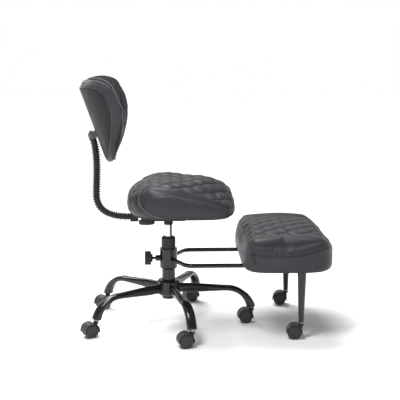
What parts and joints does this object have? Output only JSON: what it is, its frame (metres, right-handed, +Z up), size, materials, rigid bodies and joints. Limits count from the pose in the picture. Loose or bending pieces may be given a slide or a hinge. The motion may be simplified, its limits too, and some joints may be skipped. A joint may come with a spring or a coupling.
{
  "type": "swivel chair",
  "caption": "Swivel chair with a wide quilted seat, a small backrest on a bendable hose stalk, a castered five-leg base and a quilted leg rest that swings round its column.",
  "frame": {"origin": "on the floor, on the axis of the column", "axes": "+X forward from the backrest to the leg rest, +Z up, +Y to the sitter's left"},
  "size_m": [0.9231, 0.6531, 0.9291],
  "materials": {
    "gloss_black_paint": "glossy black powder coat",
    "satin_black_paint": "satin black",
    "black_plastic": "matte moulded black",
    "caster_plastic": "matte dark grey",
    "wheel_plastic": "matte dark grey, smooth",
    "fitting_plastic": "glossy dark grey",
    "corrugated_plastic": "semi-matte black corrugated",
    "chrome": "polished",
    "bright_steel": "zinc plated",
    "plywood": "raw plywood",
    "charcoal_leather": "soft grained leatherette, quilted",
    "charcoal_shell": "smooth leatherette over a moulded shell"
  },
  "bodies": {
    "base": {"base_hub": "gloss_black_paint", "base_leg_1": "gloss_black_paint", "base_leg_2": "gloss_black_paint", "base_leg_3": "gloss_black_paint", "base_leg_4": "gloss_black_paint", "base_leg_5": "gloss_black_paint", "column_tube": "gloss_black_paint", "column_collar": "black_plastic"},
    "spindle": {"gas_rod": "bright_steel"},
    "column": {"gas_cylinder": "chrome", "mechanism_housing": "satin_black_paint", "tilt_pin": "bright_steel"},
    "lever": {"height_lever": "black_plastic"},
    "tension": {"tension_knob": "black_plastic"},
    "seat": {"seat_plate": "satin_black_paint", "seat_board": "plywood", "seat_bolts": "bright_steel", "seat_cushion": "charcoal_leather", "hose_bracket": "satin_black_paint", "hose": "corrugated_plastic"},
    "back": {"back_fitting": "fitting_plastic", "back_panel": "charcoal_shell", "back_cushion": "charcoal_leather"},
    "leg_rest": {"clamp_sleeve": "gloss_black_paint", "rail_left": "gloss_black_paint", "rail_right": "gloss_black_paint", "rest_crossbars": "satin_black_paint", "rest_leg_left": "gloss_black_paint", "rest_leg_right": "gloss_black_paint", "rest_board": "plywood", "rest_cushion": "charcoal_leather"},
    "clamp": {"clamp_knob": "black_plastic"},
    "caster_1": {"caster_1_stem": "bright_steel", "caster_1_hood": "caster_plastic"},
    "caster_1_wheel_a": {"caster_1_wheel_a": "wheel_plastic"},
    "caster_1_wheel_b": {"caster_1_wheel_b": "wheel_plastic"},
    "caster_2": {"caster_2_stem": "bright_steel", "caster_2_hood": "caster_plastic"},
    "caster_2_wheel_a": {"caster_2_wheel_a": "wheel_plastic"},
    "caster_2_wheel_b": {"caster_2_wheel_b": "wheel_plastic"},
    "caster_3": {"caster_3_stem": "bright_steel", "caster_3_hood": "caster_plastic"},
    "caster_3_wheel_a": {"caster_3_wheel_a": "wheel_plastic"},
    "caster_3_wheel_b": {"caster_3_wheel_b": "wheel_plastic"},
    "caster_4": {"caster_4_stem": "bright_steel", "caster_4_hood": "caster_plastic"},
    "caster_4_wheel_a": {"caster_4_wheel_a": "wheel_plastic"},
    "caster_4_wheel_b": {"caster_4_wheel_b": "wheel_plastic"},
    "caster_5": {"caster_5_stem": "bright_steel", "caster_5_hood": "caster_plastic"},
    "caster_5_wheel_a": {"caster_5_wheel_a": "wheel_plastic"},
    "caster_5_wheel_b": {"caster_5_wheel_b": "wheel_plastic"},
    "caster_6": {"caster_6_stem": "bright_steel", "caster_6_hood": "caster_plastic"},
    "caster_6_wheel_a": {"caster_6_wheel_a": "wheel_plastic"},
    "caster_6_wheel_b": {"caster_6_wheel_b": "wheel_plastic"},
    "caster_7": {"caster_7_stem": "bright_steel", "caster_7_hood": "caster_plastic"},
    "caster_7_wheel_a": {"caster_7_wheel_a": "wheel_plastic"},
    "caster_7_wheel_b": {"caster_7_wheel_b": "wheel_plastic"}
  },
  "joints": [
    {"name": "seat_swivel", "type": "hinge", "parent": "base", "child": "spindle", "pos_m": [0, 0, 0.1], "axis": [0, 0, 1], "continuous": true},
    {"name": "height_lift", "type": "slide", "parent": "spindle", "child": "column", "axis": [0, 0, 1], "range_m": [0, 0.09]},
    {"name": "height_lever_pull", "type": "hinge", "parent": "column", "child": "lever", "pos_m": [0.005, 0.041, 0.401], "axis": [1, 0, 0], "range_deg": [0, 8], "stiffness_Nm_per_rad": 2, "springref_deg": -20.05},
    {"name": "tension_knob_turn", "type": "hinge", "parent": "column", "child": "tension", "pos_m": [-0.081, 0, 0.385], "axis": [0, 0, 1], "continuous": true},
    {"name": "seat_tilt", "type": "hinge", "parent": "column", "child": "seat", "pos_m": [0.045, 0, 0.409], "axis": [0, 1, 0], "range_deg": [0, 12], "stiffness_Nm_per_rad": 60, "springref_deg": -28.65},
    {"name": "back_bend", "type": "hinge", "parent": "seat", "child": "back", "pos_m": [-0.262, 0, 0.455], "axis": [0, 1, 0], "range_deg": [-12, 12], "deforming": ["hose"]},
    {"name": "rest_swing", "type": "hinge", "parent": "base", "child": "leg_rest", "pos_m": [0, 0, 0.25], "axis": [0, 0, 1], "continuous": true},
    {"name": "clamp_knob_turn", "type": "hinge", "parent": "leg_rest", "child": "clamp", "pos_m": [-0.075, 0, 0.2486], "axis": [1, 0, 0], "continuous": true},
    {"name": "caster_1_swivel", "type": "hinge", "parent": "base", "child": "caster_1", "pos_m": [0.31383, -0.01727, 0.06], "axis": [0, 0, 1], "continuous": true},
    {"name": "caster_1_roll_a", "type": "hinge", "parent": "caster_1", "child": "caster_1_wheel_a", "pos_m": [0.29036, -0.0185, 0.025], "axis": [-0.0523, 0.9986, 0], "continuous": true},
    {"name": "caster_1_roll_b", "type": "hinge", "parent": "caster_1", "child": "caster_1_wheel_b", "pos_m": [0.29036, -0.0185, 0.025], "axis": [-0.0523, 0.9986, 0], "continuous": true},
    {"name": "caster_2_swivel", "type": "hinge", "parent": "base", "child": "caster_2", "pos_m": [0.1134, 0.29313, 0.06], "axis": [0, 0, 1], "continuous": true},
    {"name": "caster_2_roll_a", "type": "hinge", "parent": "caster_2", "child": "caster_2_wheel_a", "pos_m": [0.09132, 0.28509, 0.025], "axis": [-0.342, 0.9397, 0], "continuous": true},
    {"name": "caster_2_roll_b", "type": "hinge", "parent": "caster_2", "child": "caster_2_wheel_b", "pos_m": [0.09132, 0.28509, 0.025], "axis": [-0.342, 0.9397, 0], "continuous": true},
    {"name": "caster_3_swivel", "type": "hinge", "parent": "base", "child": "caster_3", "pos_m": [-0.24374, 0.19843, 0.06], "axis": [0, 0, 1], "continuous": true},
    {"name": "caster_3_roll_a", "type": "hinge", "parent": "caster_3", "child": "caster_3_wheel_a", "pos_m": [-0.26174, 0.18333, 0.025], "axis": [-0.6428, 0.766, 0], "continuous": true},
    {"name": "caster_3_roll_b", "type": "hinge", "parent": "caster_3", "child": "caster_3_wheel_b", "pos_m": [-0.26174, 0.18333, 0.025], "axis": [-0.6428, 0.766, 0], "continuous": true},
    {"name": "caster_4_swivel", "type": "hinge", "parent": "base", "child": "caster_4", "pos_m": [-0.26404, -0.17049, 0.06], "axis": [0, 0, 1], "continuous": true},
    {"name": "caster_4_roll_a", "type": "hinge", "parent": "caster_4", "child": "caster_4_wheel_a", "pos_m": [-0.28439, -0.18224, 0.025], "axis": [-0.5, 0.866, 0], "continuous": true},
    {"name": "caster_4_roll_b", "type": "hinge", "parent": "caster_4", "child": "caster_4_wheel_b", "pos_m": [-0.28439, -0.18224, 0.025], "axis": [-0.5, 0.866, 0], "continuous": true},
    {"name": "caster_5_swivel", "type": "hinge", "parent": "base", "child": "caster_5", "pos_m": [0.08055, -0.3038, 0.06], "axis": [0, 0, 1], "continuous": true},
    {"name": "caster_5_roll_a", "type": "hinge", "parent": "caster_5", "child": "caster_5_wheel_a", "pos_m": [0.05756, -0.30869, 0.025], "axis": [-0.2079, 0.9781, 0], "continuous": true},
    {"name": "caster_5_roll_b", "type": "hinge", "parent": "caster_5", "child": "caster_5_wheel_b", "pos_m": [0.05756, -0.30869, 0.025], "axis": [-0.2079, 0.9781, 0], "continuous": true},
    {"name": "caster_6_swivel", "type": "hinge", "parent": "leg_rest", "child": "caster_6", "pos_m": [0.474, -0.222, 0.06], "axis": [0, 0, 1], "continuous": true},
    {"name": "caster_6_roll_a", "type": "hinge", "parent": "caster_6", "child": "caster_6_wheel_a", "pos_m": [0.45063, -0.21954, 0.025], "axis": [0.1045, 0.9945, 0], "continuous": true},
    {"name": "caster_6_roll_b", "type": "hinge", "parent": "caster_6", "child": "caster_6_wheel_b", "pos_m": [0.45063, -0.21954, 0.025], "axis": [0.1045, 0.9945, 0], "continuous": true},
    {"name": "caster_7_swivel", "type": "hinge", "parent": "leg_rest", "child": "caster_7", "pos_m": [0.474, 0.222, 0.06], "axis": [0, 0, 1], "continuous": true},
    {"name": "caster_7_roll_a", "type": "hinge", "parent": "caster_7", "child": "caster_7_wheel_a", "pos_m": [0.45073, 0.22527, 0.025], "axis": [0.1392, 0.9903, 0], "continuous": true},
    {"name": "caster_7_roll_b", "type": "hinge", "parent": "caster_7", "child": "caster_7_wheel_b", "pos_m": [0.45073, 0.22527, 0.025], "axis": [0.1392, 0.9903, 0], "continuous": true}
  ]
}
